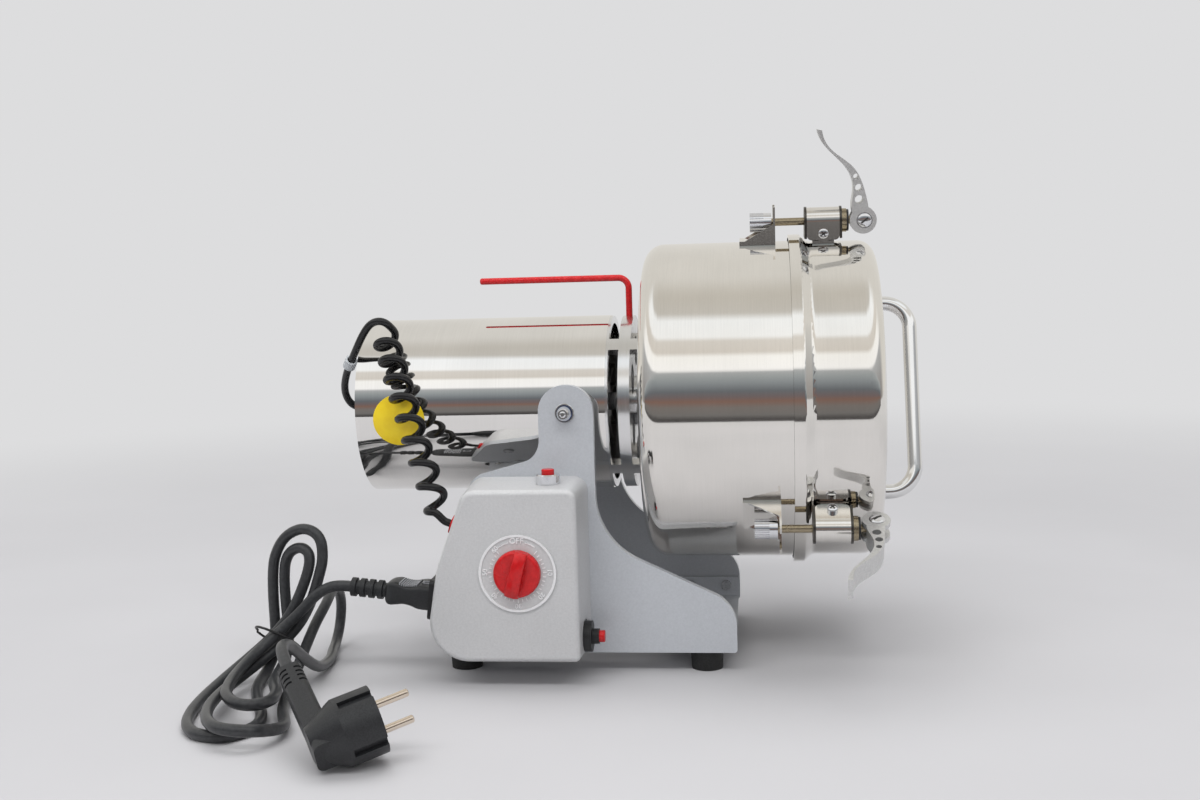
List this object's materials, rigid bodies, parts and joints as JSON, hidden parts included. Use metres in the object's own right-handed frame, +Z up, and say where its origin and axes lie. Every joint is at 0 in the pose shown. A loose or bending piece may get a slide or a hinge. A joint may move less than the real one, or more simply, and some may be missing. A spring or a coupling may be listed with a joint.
{
  "type": "electric powder grinder",
  "caption": "Tilting electric powder grinder: steel bowl with a clamped lid and its motor in a grey stand with a timer box, curly lead and tied power cord.",
  "frame": {"origin": "middle of the machine's footprint box on the table, cords left aside", "axes": "+X along the drum axis towards the lid, +Y from the control box towards the rear wall, +Z up"},
  "size_m": [0.4516, 0.432, 0.3434],
  "materials": {
    "stand_paint": "satin grey enamel",
    "box_paint": "satin light grey enamel",
    "red_paint": "gloss red dip coat",
    "rubber_black": "matt",
    "gasket_white": "soft silicone",
    "screw_steel": "zinc plated",
    "chrome": "bright plated",
    "polished_steel": "mirror polished stainless",
    "brushed_steel": "brushed stainless",
    "satin_aluminium": "satin",
    "cast_aluminium": "die cast",
    "red_plastic": "gloss red",
    "black_plastic": "fine grain black",
    "grey_plastic": "matt grey",
    "cord_black": "semi-gloss flexible sheath",
    "brass": "bright",
    "copper": "enamelled copper wire",
    "core_steel": "laminated steel"
  },
  "bodies": {
    "base": {"front_side_wall": "stand_paint", "rear_side_wall": "stand_paint", "base_floor": "stand_paint", "rubber_feet": "rubber_black", "stand_screws": "screw_steel", "control_box": "box_paint", "start_switch": "chrome", "overload_breaker": "black_plastic", "breaker_nut": "black_plastic", "power_inlet": "black_plastic", "timer_movement": "screw_steel", "lead_grommet": "red_plastic", "coiled_lead": "cord_black", "cord_connector": "black_plastic", "cord_hank": "cord_black", "power_cord": "cord_black", "cord_tie": "black_plastic", "plug": "black_plastic"},
    "grinder": {"motor_casing": "polished_steel", "motor_rear_cap": "cast_aluminium", "lead_gland": "black_plastic", "adapter_ring": "cast_aluminium", "tilt_bar": "red_paint", "pivot_bosses": "cast_aluminium", "pivot_studs": "screw_steel", "pivot_nuts": "screw_steel", "stator_core": "core_steel", "stator_windings": "copper", "brush_gear": "black_plastic", "motor_bearings": "chrome", "bowl": "brushed_steel", "lid_gasket": "gasket_white", "lid": "brushed_steel", "lid_handle": "brushed_steel", "catch_brackets": "brushed_steel", "lid_ears": "brushed_steel", "clamp_screws": "chrome", "lead_clip": "grey_plastic"},
    "rotor": {"rotor_shaft": "brushed_steel", "rotor_core": "core_steel", "commutator": "copper", "cooling_fan": "cast_aluminium", "grinding_blades": "brushed_steel", "blade_fixings": "brushed_steel"},
    "timer": {"timer_shaft": "brass", "timer_knob": "red_plastic"},
    "start_button": {"start_button": "red_plastic"},
    "reset_button": {"reset_button": "red_plastic"},
    "clamp_1": {"clamp_strap_1": "brushed_steel", "clamp_rod_1": "brass"},
    "lever_1": {"clamp_lever_1": "satin_aluminium"},
    "nut_1": {"clamp_nut_1": "chrome"},
    "clamp_2": {"clamp_strap_2": "brushed_steel", "clamp_rod_2": "brass"},
    "lever_2": {"clamp_lever_2": "satin_aluminium"},
    "nut_2": {"clamp_nut_2": "chrome"},
    "clamp_3": {"clamp_strap_3": "brushed_steel", "clamp_rod_3": "brass"},
    "lever_3": {"clamp_lever_3": "satin_aluminium"},
    "nut_3": {"clamp_nut_3": "chrome"}
  },
  "joints": [
    {"name": "tilt", "type": "hinge", "parent": "base", "child": "grinder", "pos_m": [-0.04295, -0.00554, 0.1674], "axis": [0, -1, 0], "range_deg": [0, 90], "deforming": ["coiled_lead"]},
    {"name": "rotor_spin", "type": "hinge", "parent": "grinder", "child": "rotor", "pos_m": [-0.04295, -0.00554, 0.1674], "axis": [1, 0, 0], "continuous": true},
    {"name": "timer_turn", "type": "hinge", "parent": "base", "child": "timer", "pos_m": [-0.06915, -0.11974, 0.0739], "axis": [0, 1, 0], "range_deg": [-15, 300]},
    {"name": "start_press", "type": "slide", "parent": "base", "child": "start_button", "axis": [0, 0, -1], "range_m": [0, 0.0025], "stiffness_N_per_m": 600},
    {"name": "reset_press", "type": "slide", "parent": "base", "child": "reset_button", "axis": [-1, 0, 0], "range_m": [0, 0.003], "stiffness_N_per_m": 800},
    {"name": "clamp_swing_1", "type": "hinge", "parent": "grinder", "child": "clamp_1", "pos_m": [0.1221, -0.019, 0.27708], "axis": [0, 0.9925, 0.1219], "range_deg": [0, 12]},
    {"name": "lever_throw_1", "type": "hinge", "parent": "clamp_1", "child": "lever_1", "pos_m": [0.14855, -0.0199, 0.28442], "axis": [0, 0.9925, 0.1219], "range_deg": [0, 100]},
    {"name": "nut_turn_1", "type": "hinge", "parent": "clamp_1", "child": "nut_1", "pos_m": [0.08205, -0.0199, 0.28442], "axis": [1, 0, 0], "continuous": true},
    {"name": "clamp_swing_2", "type": "hinge", "parent": "grinder", "child": "clamp_2", "pos_m": [0.1221, -0.09378, 0.1009], "axis": [0, -0.6018, 0.7986], "range_deg": [0, 9]},
    {"name": "lever_throw_2", "type": "hinge", "parent": "clamp_2", "child": "lever_2", "pos_m": [0.14855, -0.0997, 0.09645], "axis": [0, -0.3907, 0.9205], "range_deg": [-8, 92]},
    {"name": "nut_turn_2", "type": "hinge", "parent": "clamp_2", "child": "nut_2", "pos_m": [0.08205, -0.0997, 0.09645], "axis": [1, 0, 0], "continuous": true},
    {"name": "clamp_swing_3", "type": "hinge", "parent": "grinder", "child": "clamp_3", "pos_m": [0.1221, 0.09618, 0.12422], "axis": [0, -0.3907, -0.9205], "range_deg": [0, 12]},
    {"name": "lever_throw_3", "type": "hinge", "parent": "clamp_3", "child": "lever_3", "pos_m": [0.14855, 0.10299, 0.12133], "axis": [0, -0.3907, -0.9205], "range_deg": [0, 100]},
    {"name": "nut_turn_3", "type": "hinge", "parent": "clamp_3", "child": "nut_3", "pos_m": [0.08205, 0.10299, 0.12133], "axis": [1, 0, 0], "continuous": true}
  ]
}
